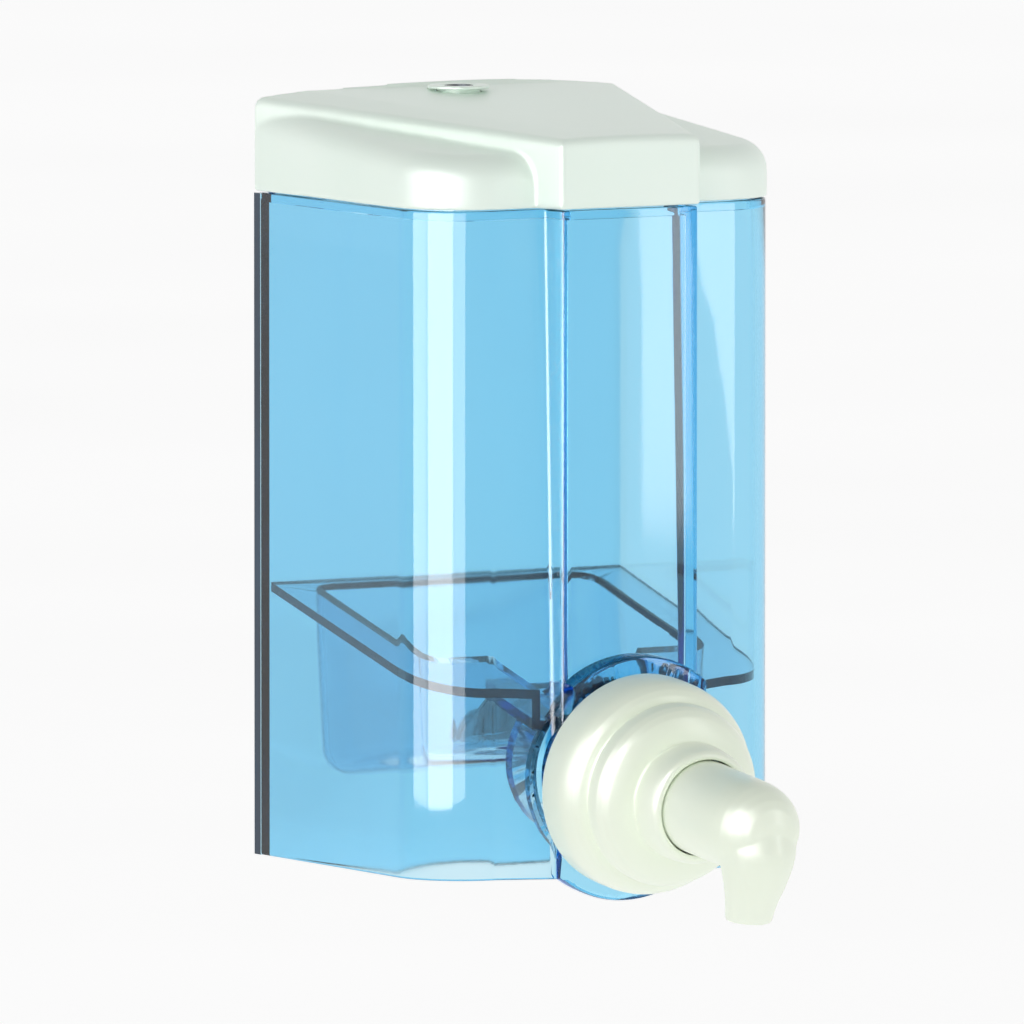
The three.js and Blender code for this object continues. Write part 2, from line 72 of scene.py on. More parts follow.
# ------------------------------------------------------------------ mesh helpers
def make(name, verts, faces, matrix=None):
    me = bpy.data.meshes.new(name)
    me.from_pydata([tuple(v) for v in verts], [], faces)
    if matrix is not None:
        me.transform(matrix)
    bm = bmesh.new()
    bm.from_mesh(me)
    bmesh.ops.remove_doubles(bm, verts=bm.verts, dist=1e-5)
    bmesh.ops.recalc_face_normals(bm, faces=bm.faces)
    bm.to_mesh(me)
    bm.free()
    ob = bpy.data.objects.new(name, me)
    coll.objects.link(ob)
    return ob


def fill(ring, flip=False):
    tris = tessellate_polygon([[Vector((p[0], p[1], 0)) for p in ring]])
    return [tuple(reversed(t)) if flip else tuple(t) for t in tris]


def loft(name, rings, matrix=None):
    n = len(rings[0])
    verts = [p for r in rings for p in r]
    faces = []
    for k in range(len(rings) - 1):
        for i in range(n):
            j = (i + 1) % n
            faces.append((k * n + i, k * n + j, (k + 1) * n + j, (k + 1) * n + i))
    faces += [tuple(t) for t in fill(rings[0], True)]
    top = (len(rings) - 1) * n
    faces += [tuple(top + i for i in t) for t in fill(rings[-1])]
    return make(name, verts, faces, matrix)


def lathe(name, profile, seg=96, matrix=None, closed=True):
    verts, faces = [], []
    rows = []
    for r, a in profile:
        if r < 1e-6:
            rows.append([len(verts)])
            verts.append((0, 0, a))
        else:
            rows.append(list(range(len(verts), len(verts) + seg)))
            for k in range(seg):
                t = 2 * math.pi * k / seg
                verts.append((r * math.cos(t), r * math.sin(t), a))
    pairs = list(zip(rows[:-1], rows[1:]))
    if closed:
        pairs.append((rows[-1], rows[0]))
    for p, q in pairs:
        if len(p) == 1 and len(q) == 1:
            continue
        for k in range(seg):
            j = (k + 1) % seg
            if len(p) == 1:
                faces.append((p[0], q[j], q[k]))
            elif len(q) == 1:
                faces.append((p[k], p[j], q[0]))
            else:
                faces.append((p[k], p[j], q[j], q[k]))
    return make(name, verts, faces, matrix)


def rod(r, a0, a1, seg=96, matrix=None, name="cutter"):
    return lathe(name, [(0, a0), (r, a0), (r, a1), (0, a1)], seg, matrix, closed=False)


def box(x0, x1, f0, f1, z0, z1, name="cutter"):
    v = [(x, -f, z) for z in (z0, z1) for x, f in ((x0, f0), (x1, f0), (x1, f1), (x0, f1))]
    return make(name, v, [(0, 1, 2, 3), (4, 5, 6, 7), (0, 1, 5, 4), (1, 2, 6, 5), (2, 3, 7, 6), (3, 0, 4, 7)])


def apply_mods(ob):
    dg = bpy.context.evaluated_depsgraph_get()
    me = bpy.data.meshes.new_from_object(ob.evaluated_get(dg))
    old = ob.data
    ob.modifiers.clear()
    ob.data = me
    bpy.data.meshes.remove(old)


def boolean(ob, other, op="DIFFERENCE", keep=False):
    m = ob.modifiers.new("bool", "BOOLEAN")
    m.operation, m.object, m.solver = op, other, "MANIFOLD"
    apply_mods(ob)
    if not keep:
        me = other.data
        bpy.data.objects.remove(other)
        bpy.data.meshes.remove(me)
    return ob


def modifier(ob, kind, **kw):
    m = ob.modifiers.new(kind.lower(), kind)
    for k, v in kw.items():
        setattr(m, k, v)
    return m


def rounded(ob, width, segments=3, angle=30):
    modifier(ob, "BEVEL", width=width, segments=segments, limit_method="ANGLE", angle_limit=math.radians(angle), harden_normals=False)
    apply_mods(ob)
    return ob


def smooth(ob, angle=35):
    me = ob.data
    for p in me.polygons:
        p.use_smooth = True
    bm = bmesh.new()
    bm.from_mesh(me)
    for e in bm.edges:
        if len(e.link_faces) == 2:
            e.smooth = e.calc_face_angle(0) < math.radians(angle)
    bm.to_mesh(me)
    bm.free()


def finish_piece(ob, body, nodes, mat, angle=35):
    # from millimetres over the body's bottom edge to metres in the row frame
    ob.data.transform(MM @ DOWN)
    ob.data.materials.clear()
    ob.data.materials.append(mat)
    smooth(ob, angle)
    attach(ob, body)
    if nodes:
        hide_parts(*nodes)
    return ob


# ------------------------------------------------------------------ materials
def new_mat(name):
    m = bpy.data.materials.new(name)
    m.use_nodes = True
    nt = m.node_tree
    for n in list(nt.nodes):
        nt.nodes.remove(n)
    out = nt.nodes.new("ShaderNodeOutputMaterial")
    b = nt.nodes.new("ShaderNodeBsdfPrincipled")
    nt.links.new(b.outputs[0], out.inputs["Surface"])
    return m, nt, b, out


def noise(nt, scale, detail=4.0, rough=0.5, stretch=(1, 1, 1)):
    tc = nt.nodes.new("ShaderNodeTexCoord")
    mp = nt.nodes.new("ShaderNodeMapping")
    mp.inputs["Scale"].default_value = stretch
    n = nt.nodes.new("ShaderNodeTexNoise")
    n.inputs["Scale"].default_value = scale
    n.inputs["Detail"].default_value = detail
    n.inputs["Roughness"].default_value = rough
    nt.links.new(tc.outputs["Object"], mp.inputs["Vector"])
    nt.links.new(mp.outputs["Vector"], n.inputs["Vector"])
    return n


def ramp(nt, src, lo, hi, c0, c1):
    r = nt.nodes.new("ShaderNodeValToRGB")
    r.color_ramp.elements[0].position, r.color_ramp.elements[1].position = lo, hi
    r.color_ramp.elements[0].color, r.color_ramp.elements[1].color = (*c0, 1), (*c1, 1)
    nt.links.new(src, r.inputs["Fac"])
    return r.outputs["Color"]


def rough_range(nt, src, lo, hi):
    r = nt.nodes.new("ShaderNodeMapRange")
    r.inputs["From Min"].default_value, r.inputs["From Max"].default_value = 0.3, 0.7
    r.inputs["To Min"].default_value, r.inputs["To Max"].default_value = lo, hi
    nt.links.new(src, r.inputs["Value"])
    return r.outputs["Result"]


def bump(nt, src, strength, distance=0.0002, normal=None):
    b = nt.nodes.new("ShaderNodeBump")
    b.inputs["Strength"].default_value = strength
    b.inputs["Distance"].default_value = distance
    nt.links.new(src, b.inputs["Height"])
    if normal is not None:
        nt.links.new(normal, b.inputs["Normal"])
    return b.outputs["Normal"]


def opaque_plastic(name, c0, c1, r0, r1, grain=2600, sss=0.0):
    m, nt, b, out = new_mat(name)
    big = noise(nt, 14, 3)
    fine = noise(nt, grain, 2, 0.6)
    nt.links.new(ramp(nt, big.outputs["Fac"], 0.3, 0.7, c0, c1), b.inputs["Base Color"])
    nt.links.new(rough_range(nt, big.outputs["Fac"], r0, r1), b.inputs["Roughness"])
    wavy = noise(nt, 40, 1)
    n1 = bump(nt, wavy.outputs["Fac"], 0.05, 0.002)
    nt.links.new(bump(nt, fine.outputs["Fac"], 0.10, 0.00005, n1), b.inputs["Normal"])
    b.inputs["IOR"].default_value = 1.5
    if sss:
        b.inputs["Subsurface Weight"].default_value = sss
        b.inputs["Subsurface Radius"].default_value = (1.0, 0.9, 0.8)
        b.inputs["Subsurface Scale"].default_value = 0.0015
    return m


def clear_plastic(name, tint, density, r0, r1, base=(1, 1, 1), haze=0.0, grain=1800):
    m, nt, b, out = new_mat(name)
    b.inputs["Base Color"].default_value = (*base, 1)
    big = noise(nt, 22, 2)
    nt.links.new(rough_range(nt, big.outputs["Fac"], r0, r1), b.inputs["Roughness"])
    flow = noise(nt, 18, 1, 0.4, (1, 1, 0.25))       # faint flow lines from moulding
    fine = noise(nt, grain, 2, 0.6)
    n1 = bump(nt, flow.outputs["Fac"], 0.05, 0.002)
    nt.links.new(bump(nt, fine.outputs["Fac"], 0.05, 0.00003, n1), b.inputs["Normal"])
    b.inputs["IOR"].default_value = 1.46
    b.inputs["Transmission Weight"].default_value = 1.0 - haze
    vol = nt.nodes.new("ShaderNodeVolumeAbsorption")
    vol.inputs["Color"].default_value = (*tint, 1)
    vol.inputs["Density"].default_value = density
    nt.links.new(vol.outputs[0], out.inputs["Volume"])
    return m


TINT = (0.04, 0.725, 0.94)
blue = clear_plastic("tinted_blue", TINT, 190, 0.03, 0.08, base=(0.97, 0.99, 1.0))
blue_tub = clear_plastic("tinted_blue_tub", (0.10, 0.62, 0.86), 170, 0.05, 0.10, base=(0.97, 0.99, 1.0))
blue_plate = clear_plastic("tinted_blue_plate", TINT, 190, 0.16, 0.24, base=(0.97, 0.99, 1.0))


def painted_shade_plastic(name, c0, c1):
    """Dark navy paint for the tinted plastic's cut edges: painted shade standing in for the darkening that light takes
    on through a great depth of the plastic.
    """
    m, nt, b, out = new_mat(name)
    n = noise(nt, 90, 3, 0.5, (1, 1, 0.4))
    nt.links.new(ramp(nt, n.outputs["Fac"], 0.3, 0.7, c0, c1), b.inputs["Base Color"])
    nt.links.new(rough_range(nt, n.outputs["Fac"], 0.10, 0.2), b.inputs["Roughness"])
    nt.links.new(bump(nt, n.outputs["Fac"], 0.05, 0.0005), b.inputs["Normal"])
    b.inputs["IOR"].default_value = 1.46
    return m


# painted shade: near-black navy for edge faces, in place of the darkening that light takes on through the plastic
# edge-on
painted_edge_shade = painted_shade_plastic("tinted_edge_painted_shade", (0.003, 0.022, 0.050), (0.005, 0.040, 0.085))


def paint_edge_shade(ob, test):
    """Gives the faces that pass the test (normal, centre in mm over the bottom edge) the dark material of painted edge
    shade.
    """
    ob.data.materials.append(painted_edge_shade)
    for p in ob.data.polygons:
        c = Vector(p.center) * 1000
        if test(Vector(p.normal), Vector((c.x, -c.y, c.z + OZ))):
            p.material_index = 1
    return ob
white_lid = opaque_plastic("white_lid", (0.81, 0.93, 0.84), (0.86, 0.96, 0.88), 0.34, 0.42, sss=0.12)
white_pump = opaque_plastic("cream_pump", (0.84, 0.92, 0.76), (0.89, 0.95, 0.82), 0.26, 0.36, sss=0.12)
natural = clear_plastic("natural_inner", (0.80, 0.93, 0.97), 90, 0.22, 0.34, base=(0.97, 0.99, 1.0), haze=0.15)
dark_rubber = opaque_plastic("seal_rubber", (0.020, 0.021, 0.023), (0.035, 0.036, 0.038), 0.6, 0.8, grain=900)


def metal(name, c0, c1, r0, r1, brushed=False):
    m, nt, b, out = new_mat(name)
    n = noise(nt, 60, 4)
    s = noise(nt, 900, 2, 0.5, (1, 1, 0.05) if brushed else (1, 1, 1))
    nt.links.new(ramp(nt, n.outputs["Fac"], 0.3, 0.7, c0, c1), b.inputs["Base Color"])
    nt.links.new(rough_range(nt, s.outputs["Fac"], r0, r1), b.inputs["Roughness"])
    nt.links.new(bump(nt, s.outputs["Fac"], 0.08, 0.00003), b.inputs["Normal"])
    b.inputs["Metallic"].default_value = 1.0
    return m


steel = metal("stainless", (0.52, 0.53, 0.54), (0.62, 0.63, 0.64), 0.12, 0.25)
lock_dark = metal("lock_barrel_metal", (0.05, 0.055, 0.065), (0.09, 0.10, 0.11), 0.35, 0.5, True)
lock_metal = metal("lock_zinc", (0.26, 0.28, 0.31), (0.36, 0.38, 0.41), 0.25, 0.42, True)


# ------------------------------------------------------------------ plan outline
def outline(z, inset, rear, steps=20):
    side, side_front, r = HALF_W - inset, FRONT_HALF_W - inset, CORNER_R - inset
    cx, cf = FRONT_HALF_W - CORNER_R, WING_F - CORNER_R
    t = min(1.0, max(-0.15, 1 - z / HEIGHT))
    at_rib, rib_x, rib_f = WING_F + WING_FWD * t - inset, RIB_X - inset, RIB_F - inset
    half = [(side, rear)]
    for k in range(steps + 1):
        a = math.pi / 2 * k / steps
        half.append((cx + r * math.cos(a), cf + r * math.sin(a)))
    half[1] = (side_front, half[1][1])
    # the corner where wing meets rib is a small cove, the rib's own edge a small round
    c = 1.2
    wx, wf = cx, cf + r
    dx, df = rib_x - wx, at_rib - wf
    ln = math.hypot(dx, df)
    p = (rib_x - dx / ln * c, at_rib - df / ln * c)
    q = (rib_x, min(at_rib + c, rib_f - 1.5))
    for k in range(5):
        s = k / 4
        a = ((1 - s) ** 2 * p[0] + 2 * s * (1 - s) * rib_x + s * s * q[0], (1 - s) ** 2 * p[1] + 2 * s * (1 - s) * at_rib + s * s * q[1])
        half.append(a)
    e = 1.0
    for k in range(5):
        a = math.pi / 2 * k / 4
        half.append((rib_x - e + e * math.cos(a), rib_f - e + e * math.sin(a)))
    return [(-x, -f, z) for x, f in half] + [(x, -f, z) for x, f in reversed(half)]


def prism(name, z0, z1, inset, rear, rows=1, edge=0.0):
    # edge: rounding of the top and bottom rims, as extra inset
    arc = [(edge * (1 - math.sin(math.pi / 2 * k / 3)), edge * (1 - math.cos(math.pi / 2 * k / 3))) for k in range(4)] if edge else [(0, 0)]
    rings = [outline(z0 + dz, inset + ins, rear + ins) for dz, ins in reversed(arc)]
    lo, hi = z0 + edge, z1 - edge
    for k in range(1, rows):
        rings.append(outline(lo + (hi - lo) * k / rows, inset, rear))
    rings += [outline(z1 - dz, inset + ins, rear + ins) for dz, ins in arc]
    return loft(name, rings)


# ------------------------------------------------------------------ outer body
def rib_slab(half):
    return box(-half, half, 0, 130, -30, 90)


def seat(name="seat"):
    """The round seat of the pump on the rib, only as wide as the rib."""
    pad = lathe(name, [(0, -6), (BOSS_R - 0.5, -6), (BOSS_R, -5.5), (BOSS_R, -1.6), (BOSS_R - 0.3, -0.9), (BOSS_R - 1.0, -0.6), (0, -0.6)], 160, PUMP, closed=False)
    return boolean(pad, rib_slab(RIB_X - 0.4), "INTERSECT")


def build_shell():
    ob = prism("body_shell", 0, HEIGHT, 0, SHELL_REAR, rows=8, edge=0.5)
    lip = prism("lip", HEIGHT - 2.4, 163.5, 2.0, SHELL_REAR + 0.3, rows=1)
    boolean(ob, prism("cav", -2, HEIGHT + 2, WALL, SHELL_REAR + 2.2, rows=8))
    boolean(ob, seat(), "UNION")
    boolean(lip, prism("lipcut", HEIGHT - 4, 165, 3.6, SHELL_REAR + 2.2), "DIFFERENCE")
    boolean(ob, lip, "UNION")
    boolean(ob, rod(NECK_R + 0.4, -40, 5, 128, PUMP))
    boolean(ob, rod(BOSS_R + 0.3, -0.6, 20, 160, PUMP))
    boolean(ob, box(-34.4, 34.4, 0, 9, HEIGHT - 0.1, 170))
    boolean(ob, box(-34.4, 34.4, 5.6, 9, HEIGHT - 6, 170))
    finish_piece(ob, "body", ["outer_shell"], blue, 30)
    # painted shade: the shell's rear edge faces at the sides get the dark navy edge material
    return paint_edge_shade(ob, lambda n, c: c.y < SHELL_REAR + 0.7 and abs(c.x) > HALF_W - WALL and n.y > 0.7)


# ------------------------------------------------------------------ wall plate
def build_plate():
    ob = box(-HALF_W, HALF_W, 0, 3.0, 0, HEIGHT - 0.2, "plate_moulding")
    boolean(ob, box(-34, 34, 0, 3.0, HEIGHT - 1, 170), "UNION")
    for s in (-1, 1):
        a, b = sorted((s * 24, s * 34))
        boolean(ob, box(a, b, 2.5, 8.0, HEIGHT + 0.2, 161.5), "UNION")
        boolean(ob, box(a, b, 6.0, 8.0, 153.5, 161.5), "UNION")
    boolean(ob, box(-9.5, 9.5, -1, 6, 160.3, 167.2))
    for s in (-20, 20):
        boolean(ob, rod(2.4, -10, 10, 40, Matrix.Translation((s, 0, 164.5)) @ Matrix.Rotation(math.pi / 2, 4, "X")))
        boolean(ob, lathe("csk", [(0, 1.2), (2.4, 1.2), (4.6, 3.4), (4.6, 5), (0, 5)], 40, Matrix.Translation((s, 0, 164.5)) @ Matrix.Rotation(math.pi / 2, 4, "X"), closed=False))
    rounded(ob, 0.35, 2, 40)
    finish_piece(ob, "body", ["wall_plate"], blue_plate, 30)
    # painted shade: the plate's outer side faces get the dark navy edge material
    return paint_edge_shade(ob, lambda n, c: abs(n.x) > 0.6 and abs(c.x) > HALF_W - 0.5 and c.z < HEIGHT)


# ------------------------------------------------------------------ inner tub
def rim_z(f):
    return RIM_Z - RIM_SLOPE * (f - TUB_REAR)


def wedge(z_off, thick=None, f0=0.0, f1=100.0, x0=-60.0, x1=60.0):
    lo = [rim_z(f) + z_off - thick if thick else -20.0 for f in (f0, f1)]
    v = [(x0, -f0, lo[0]), (x1, -f0, lo[0]), (x1, -f1, lo[1]), (x0, -f1, lo[1])]
    v += [(x0, -f0, rim_z(f0) + z_off), (x1, -f0, rim_z(f0) + z_off), (x1, -f1, rim_z(f1) + z_off), (x0, -f1, rim_z(f1) + z_off)]
    return make("wedge", v, [(0, 1, 2, 3), (4, 5, 6, 7), (0, 1, 5, 4), (1, 2, 6, 5), (2, 3, 7, 6), (3, 0, 4, 7)])


def basket(grow, floor, name="basket"):
    w0, w1 = BASKET_W - 2.6 - grow, BASKET_W - grow
    fr, f0, rc = TUB_REAR + 1.0 + grow, BASKET_F + 0.4 - grow, 7 - grow

    def ring(w, ff, rr, z0, z1):
        pts = []
        for cx, cf, a0 in ((w - rc, rr + rc, -0.5), (w - rc, ff - rc, 0), (-w + rc, ff - rc, 0.5), (-w + rc, rr + rc, 1)):
            for k in range(9):
                a = math.pi * (a0 + 0.5 * k / 8)
                x, f = cx + rc * math.cos(a), cf + rc * math.sin(a)
                pts.append((x, -f, z0 + (z1 - z0) * (f - fr) / (ff - fr)))
        return list(reversed(pts))

    rings = []
    br = 7.0 - grow           # floor edge radius
    for k in range(9):
        a = math.pi / 2 * k / 8
        ins, up = br * (1 - math.sin(a)), br * (1 - math.cos(a))
        rings.append(ring(w0 - ins, f0 - 1 - ins, fr + ins * 0.3, 18.5 + floor + up, 24.8 + floor + up))
    rings.append(ring(w1, f0, fr, 72, 62))
    return loft(name, rings)


def build_tub():
    inner = lambda: prism("inb", 0, HEIGHT, TUB_INSET, TUB_REAR, rows=8)
    plate = boolean(wedge(0, 2.2), inner(), "INTERSECT")
    boolean(plate, box(-CENTRE, CENTRE, BASKET_F - 0.4, 100, 20, 80))
    deck = boolean(wedge(-DROP, 2.2), inner(), "INTERSECT")
    boolean(deck, box(-CENTRE - 2, CENTRE + 2, BASKET_F - 1.6, 100, 20, 80), "INTERSECT")
    for s in (-1, 1):
        a, b = sorted((s * CENTRE, s * (CENTRE + 2)))
        riser = box(a, b, BASKET_F - 1.6, 100, 20, 80)
        boolean(riser, inner(), "INTERSECT")
        boolean(riser, wedge(0), "INTERSECT")
        boolean(riser, wedge(-DROP - 2.2))
        boolean(plate, riser, "UNION")
    boolean(plate, deck, "UNION")
    boolean(plate, boolean(rod(BOSS_R + 0.4, -12.4, 30, 160, PUMP), rib_slab(RIB_X + 0.4), "INTERSECT"))
    boolean(plate, rod(NECK_R + 0.8, -12.4, 30, 128, PUMP))
    b = boolean(basket(0, 0), wedge(0), "INTERSECT")
    boolean(plate, b, "UNION")
    boolean(plate, rod(NECK_R, -13.4, 9.5, 128, PUMP), "UNION")
    boolean(plate, rod(17.7, -31, -13, 128, PUMP), "UNION")
    boolean(plate, rod(8.0, -52, -29.5, 64, PUMP), "UNION")
    boolean(plate, rod(22.3, -14.0, -12.0, 128, PUMP), "UNION")
    boolean(plate, basket(2.0, 2.2))
    boolean(plate, rod(NECK_BORE, -10.4, 12, 128, PUMP))
    boolean(plate, rod(16.2, -29, -10, 128, PUMP))
    boolean(plate, rod(6.0, -75, -28, 64, PUMP))
    notch = boolean(box(-CENTRE, CENTRE, BASKET_F - 6, BASKET_F + 3, 20, 80), wedge(-DROP))
    boolean(plate, notch)
    plate.name = "tub_moulding"
    rounded(plate, 0.3, 2, 40)
    finish_piece(plate, "body", ["tank_tub"], blue_tub, 30)

    def rim_edge(n, c):
        # side faces of the rim plate and of the lowered deck, not the basin's walls: these get the painted edge shade
        if abs(n.z) > 0.75 or c.z < 34:
            return False
        d0, d1 = rim_z(c.y) - c.z, rim_z(c.y) - DROP - c.z
        near_front = abs(c.x) < CENTRE + 2.6 and c.y > BASKET_F - 3
        outer = c.y < TUB_REAR + 0.6 or abs(c.x) > BASKET_W + 0.6 or c.y > BASKET_F + 1.2
        return outer and (-0.2 < d0 < 2.6 or (near_front and n.y < -0.6 and -0.2 < d0 < DROP + 2.6)) and not (abs(n.x) > 0.6 and abs(c.x) < CENTRE + 2.6)
    return paint_edge_shade(plate, rim_edge)


# ------------------------------------------------------------------ lid
def wing_top(f):
    return 178.6 - 7.6 * f / WING_F


def lid_outer(inset, drop, base, r_wing, r_roof):
    """The lid's two-level form: sloping wings with softly rounded edges, and the raised tapering roof."""
    rings = [outline(base, inset, 0.2 + max(inset, 0))]
    top0 = lambda f: wing_top(f) - drop
    n = 10
    for k in range(n + 1):
        a = math.pi / 2 * k / n
        ins, fall = r_wing * (1 - math.cos(a)), r_wing * (1 - math.sin(a))
        o = outline(158.5, inset + ins, 0.2 + max(inset, 0))
        rings.append([(x, y, top0(-y) - fall) for x, y, _ in o])
    wing = loft("wing", rings)
    # roof: polygon with rounded rim
    w, r, d, rear = HALF_W - inset, RIB_X - inset, RIB_F - inset, 0.2 + max(inset, 0)
    slope = (w - r) / (d - rear)

    def half(f):
        return w - slope * (f - rear)

    def roof_ring(ins, fall):
        # inset keeps the rear on the wall; the crown fades towards the front
        dd = d - ins
        pts = []
        m = 24
        for i in range(m + 1):
            f = rear + (dd - rear) * i / m
            pts.append((-(half(f) - ins * math.hypot(1, slope)), f))
        for i in range(1, 16):
            x = -(half(dd) - ins * math.hypot(1, slope)) * (1 - 2 * i / 16)
            pts.append((x, dd))
        for i in range(m, -1, -1):
            f = rear + (dd - rear) * i / m
            pts.append((half(f) - ins * math.hypot(1, slope), f))
        for i in range(1, 24):
            x = (half(rear) - ins * math.hypot(1, slope)) * (1 - 2 * i / 24)
            pts.append((x, rear))
        out = []
        for x, f in pts:
            out.append((x, -f, roof_z(x, f) - drop - fall))
        return out

    def roof_z(x, f):
        s = (f - rear) / (d - rear)
        c = 1 - min(1.0, abs(x) / max(half(f), 1e-3)) ** 2
        return 181 - 5.7 * s + c * (2.7 * (1 - s) + 0.4 * s)

    rings = [[(x, y, base) for x, y, _ in roof_ring(0, 0)]]
    for k in range(9):
        a = math.pi / 2 * k / 8
        rings.append(roof_ring(r_roof * (1 - math.cos(a)), r_roof * (1 - math.sin(a))))
    for ins in (r_roof + 3, r_roof + 7, r_roof + 11):
        if ins < r - 3:
            rings.append(roof_ring(ins, 0))
    roof = loft("roof", rings)
    return boolean(wing, roof, "UNION")


def build_lid():
    ob = lid_outer(-0.3, 0, LID_BASE, 6.5, 2.2)
    inner = lid_outer(1.7, 2.0, LID_BASE - 4, 5.0, 1.2)
    boolean(ob, inner)
    boolean(ob, box(-35, 35, -1, 4, 150, 171))
    modifier(ob, "REMESH", mode="VOXEL", voxel_size=0.55, adaptivity=0.0)
    modifier(ob, "SMOOTH", factor=0.5, iterations=7)
    apply_mods(ob)
    T = Matrix.Translation((0, -LOCK_F, 0))
    boolean(ob, rod(5.5, 150, 200, 96, T))
    boolean(ob, rod(7.8, 181.8, 200, 96, T))
    ob.name = "lid_cap"
    finish_piece(ob, "lid", ["lid"], white_lid, 40)
    return ob


# ------------------------------------------------------------------ lock
def build_lock():
    T = Matrix.Translation((0, -LOCK_F, 0))
    ob = lathe("lock_ring", [(5.2, 166.9), (5.2, LOCK_TOP - 0.2), (7.1, LOCK_TOP - 0.2), (7.4, LOCK_TOP), (7.35, LOCK_TOP + 0.4), (7.0, LOCK_TOP + 0.6),
                             (4.5, LOCK_TOP + 0.6), (4.1, LOCK_TOP + 0.4), (4.0, LOCK_TOP), (4.0, 166.9)], 96, T)
    finish_piece(ob, "lid", ["lock_sleeve"], white_lid)
    plug = lathe("lock_barrel", [(0, 162.1), (2.3, 162.1), (2.4, 162.4), (2.6, 165.6), (3.7, 165.6), (3.7, LOCK_TOP + 0.2), (3.4, LOCK_TOP + 0.5), (0, LOCK_TOP + 0.5)], 64, T, closed=False)
    boolean(plug, rod(2.9, LOCK_TOP - 5, LOCK_TOP + 3, 64, T))
    boolean(plug, box(0, 3.3, LOCK_F - 0.7, LOCK_F + 0.7, LOCK_TOP - 5, LOCK_TOP + 3))
    boolean(plug, rod(1.3, 160, 168, 32, T))
    finish_piece(plug, "lock", ["lock_plug"], lock_dark)
    return ob


# ------------------------------------------------------------------ pump
def fillet(profile, radius, steps=4):
    """Rounds the corners of a closed (radius, height) profile."""
    out = []
    n = len(profile)
    for i in range(n):
        p, c, q = Vector(profile[i - 1]), Vector(profile[i]), Vector(profile[(i + 1) % n])
        u, v = (p - c), (q - c)
        r = min(radius, u.length * 0.4, v.length * 0.4)
        if r < 0.05 or u.angle(v, math.pi) > math.radians(165):
            out.append(tuple(c))
            continue
        a, b = c + u.normalized() * r, c + v.normalized() * r
        for k in range(steps + 1):
            s = k / steps
            out.append(tuple((1 - s) ** 2 * a + 2 * s * (1 - s) * c + s * s * b))
    return out


def build_closure():
    prof = [(22.4, 0), (25.4, 0), (25.85, 0.6), (25.95, 4), (25.9, 7.6), (25.7, 9.4), (25.2, 11.1), (24.4, 12.6), (23.2, 13.7), (21.9, 14.3), (21.45, 14.6),
            (21.5, 15.1), (21.9, 15.5), (21.95, 17.2), (21.7, 18.9), (21.0, 20.4), (19.8, 21.7), (18.2, 22.6), (16.4, 23.2), (14.5, 23.5), (14.0, 23.8),
            (14.05, 24.4), (14.25, 25.0), (14.2, 27.5), (13.9, 30.4), (13.5, 31.7), (12.9, 32.4), (12.2, 32.6), (11.6, 32.4), (11.6, 20.8), (17.6, 20.8), (17.6, 12.6), (22.4, 12.6)]
    ob = lathe("closure_cap", fillet(prof, 0.35, 3), 160, PUMP)
    return finish_piece(ob, "body", ["pump_closure"], white_pump, 50)


def build_housing():
    prof = [(14.4, 12.3), (14.4, -20.6), (3.9, -22.6), (3.9, -57.5), (2.9, -57.5), (2.9, -61.6), (1.6, -62.4), (1.6, -68.4),
            (3.2, -68.4), (3.2, -63.8), (5.2, -62.6), (5.2, -24.4), (15.6, -22), (15.6, 11.3), (20.9, 11.3), (20.9, 12.3)]
    ob = lathe("pump_cylinder", fillet(prof, 0.5, 3), 96, PUMP)
    return finish_piece(ob, "body", ["pump_housing"], natural, 40)


def build_actuator():
    stem = lathe("press_spout", [(0, 22.2), (11.2, 22.2), (11.2, 52), (11.05, 55), (10.6, 57.8), (9.7, 60.3), (8.2, 62.6), (6.2, 64.2), (3.4, 65.2), (0, 65.5)], 96, PUMP, closed=False)
    # sections down the spout: depth, half width, half depth, centre, and where the front shell's edge lies (degrees)
    sect = [(-3, 8.4, 9.2, 54.8, 158), (-1, 9.0, 9.9, 55.2, 158), (0.5, 9.3, 10.2, 55.6, 157), (2.5, 9.5, 10.4, 56.1, 156), (4, 9.5, 10.3, 56.6, 155), (6, 9.2, 10.0, 57.0, 153),
            (8, 8.8, 9.5, 57.2, 151), (10, 8.3, 8.8, 57.3, 148), (12, 7.8, 8.2, 57.2, 144), (14, 7.3, 7.6, 57.0, 140), (16, 6.8, 7.0, 56.6, 136), (18, 6.4, 6.5, 56.3, 132),
            (20, 6.1, 6.1, 56.0, 130), (21.6, 5.9, 5.9, 55.7, 129), (22.1, 5.65, 5.65, 55.6, 129), (22.3, 5.3, 5.3, 55.5, 129)]
    rings = []
    n = 120
    for dn, rx, ra, c, edge in sect:
        ring = []
        for k in range(n):
            t = 360 * k / n
            off = abs((t - 90 + 180) % 360 - 180) - (edge - 90)      # outside the front shell when positive
            g = 1 - 0.05 * min(1, max(0, off / 5 + 0.5))
            ring.append((rx * g * math.cos(math.radians(t)), c + ra * g * math.sin(math.radians(t)), dn))
        rings.append(ring)
    spout = loft("spout", rings)
    # the stack runs along +Z; turn it so it runs down (-Y) from the pump's axis
    for v in spout.data.vertices:
        x, a, dn = v.co
        v.co = (x, -dn, a)
    spout.data.transform(PUMP)
    boolean(stem, spout, "UNION")
    modifier(stem, "REMESH", mode="VOXEL", voxel_size=0.42, adaptivity=0.0)
    modifier(stem, "SMOOTH", factor=0.5, iterations=8)
    apply_mods(stem)
    boolean(stem, rod(9.6, 20, 43.2, 64, PUMP))
    boolean(stem, rod(3.6, 42, 57, 48, PUMP))
    chan = rod(3.9, -2, 32, 48, PUMP @ Matrix.Translation((0, 0, 55.4)) @ Matrix.Rotation(math.pi / 2, 4, "X"))
    boolean(stem, chan)
    stem.name = "press_spout"
    return finish_piece(stem, "actuator", ["actuator_spout"], white_pump, 45)


